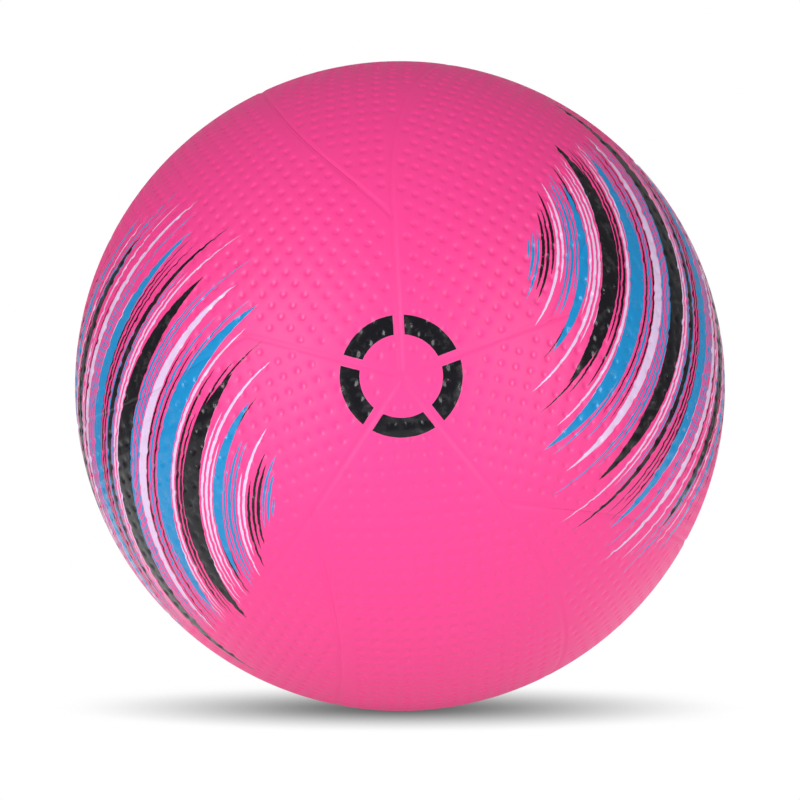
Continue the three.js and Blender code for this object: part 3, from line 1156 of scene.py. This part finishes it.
def area_lamp(name, size, power):
    """A rectangular lamp of the given width and height."""
    data = bpy.data.lights.new(name, "AREA")
    data.shape = "RECTANGLE"
    data.size, data.size_y = size
    data.energy = power
    return data


def soft_spot(name, cone, power):
    """A spot that fades out from its middle. Its cone is in degrees."""
    data = bpy.data.lights.new(name, "SPOT")
    data.spot_size = math.radians(cone)
    data.spot_blend = 1.0
    data.shadow_soft_size = 0.25
    data.energy = power
    return data


class BALL_OT_stage(Operator):
    """Builds the floor, the lamps, the world and the camera"""

    bl_idname = "ball.stage"
    bl_label = "Studio stage"

    def execute(self, context):
        self.floor(context.scene.ball_sizes, context.scene.ball_colours)
        self.world(context.scene)
        self.lamps()
        self.camera(context.scene, context.scene.ball_stage)
        return {"FINISHED"}

    def floor(self, sizes, colours):
        """The round top of the light table, under the ball."""
        mesh = bpy.data.meshes.new("studio_floor")
        shape = bmesh.new()
        bmesh.ops.create_circle(shape, cap_ends=True, segments=96, radius=FLOOR_RADIUS)
        shape.to_mesh(mesh)
        shape.free()
        mesh.materials.append(floor_material(tuple(colours.floor)))
        floor = bpy.data.objects.new("studio_floor", mesh)
        floor.location.z = -sizes.ball_diameter / 2
        bpy.context.collection.objects.link(floor)

    def world(self, scene):
        """A white backdrop to the camera, and plain soft light for the ball."""
        world = bpy.data.worlds.new("studio_world")
        world.use_nodes = True
        nodes = Nodes(world.node_tree)
        way = nodes.add("ShaderNodeTexCoord").outputs["Generated"]
        backwards = nodes.add("ShaderNodeSeparateXYZ", {"Vector": way}).outputs["Y"]
        seen = seen_rays(nodes, nodes.step(backwards, *BACK_CONE))
        background = world.node_tree.nodes["Background"]
        background.inputs["Color"].default_value = WHITE
        nodes.feed(background.inputs["Strength"], nodes.between(seen, WORLD_GLOW, 1))
        scene.world = world

    def lamps(self):
        """Two tall strips in front, a spot on the lower half and a lamp for the back."""
        place_lamp(area_lamp("left_lamp", STRIP_SIZE, 13.5), -40, 8)
        place_lamp(area_lamp("right_lamp", STRIP_SIZE, 11.5), 40, 8)
        place_lamp(soft_spot("low_lamp", 14, 28), -35, 22, drop=0.2)
        back = place_lamp(area_lamp("back_lamp", (0.9, 0.9), 12), 180, 20)
        back.visible_glossy = False  # keeps its gloss off the rim of the front

    def camera(self, scene, stage):
        """The camera at the photograph's viewing angle."""
        data = bpy.data.cameras.new("camera")
        data.lens = stage.lens
        data.sensor_width = 36
        data.shift_y = -stage.ball_rise
        data.clip_start = 0.05
        data.clip_end = 50
        turn, rise = stage.camera_azimuth, stage.camera_elevation
        scene.camera = stand("camera", data, turn, rise, stage.camera_distance)
        scene.view_settings.view_transform = "Standard"


# The panel, and the start


class VIEW3D_PT_ball(Panel):
    """The ball's sizes, colours and makers"""

    bl_label = "Volleyball"
    bl_space_type = "VIEW_3D"
    bl_region_type = "UI"
    bl_category = "Volleyball"

    def draw(self, context):
        column = self.layout.column()
        for maker in MAKERS:
            column.operator(maker.bl_idname)
        for name in GROUPS:
            group = getattr(context.scene, name)
            box = column.box()
            for key in group.__annotations__:
                box.prop(group, key)


MAKERS = (BALL_OT_cover, BALL_OT_valve, BALL_OT_inner_layers, BALL_OT_stage)
GROUPS = {"ball_sizes": BallSizes, "ball_colours": BallColours, "ball_stage": StageSizes}


def register():
    """Makes the classes known to Blender and hangs the properties on the scene."""
    for cls in (*GROUPS.values(), *MAKERS, VIEW3D_PT_ball):
        bpy.utils.register_class(cls)
    for name, group in GROUPS.items():
        setattr(bpy.types.Scene, name, PointerProperty(type=group))


def unregister():
    """Takes the properties and the classes out again."""
    for name in GROUPS:
        delattr(bpy.types.Scene, name)
    for cls in (VIEW3D_PT_ball, *reversed(MAKERS), *reversed(GROUPS.values())):
        bpy.utils.unregister_class(cls)


def main():
    """Builds the ball and its stage."""
    register()
    bpy.ops.ball.cover()
    bpy.ops.ball.valve()
    bpy.ops.ball.inner_layers()
    bpy.ops.ball.stage()


if __name__ == "__main__":
    main()
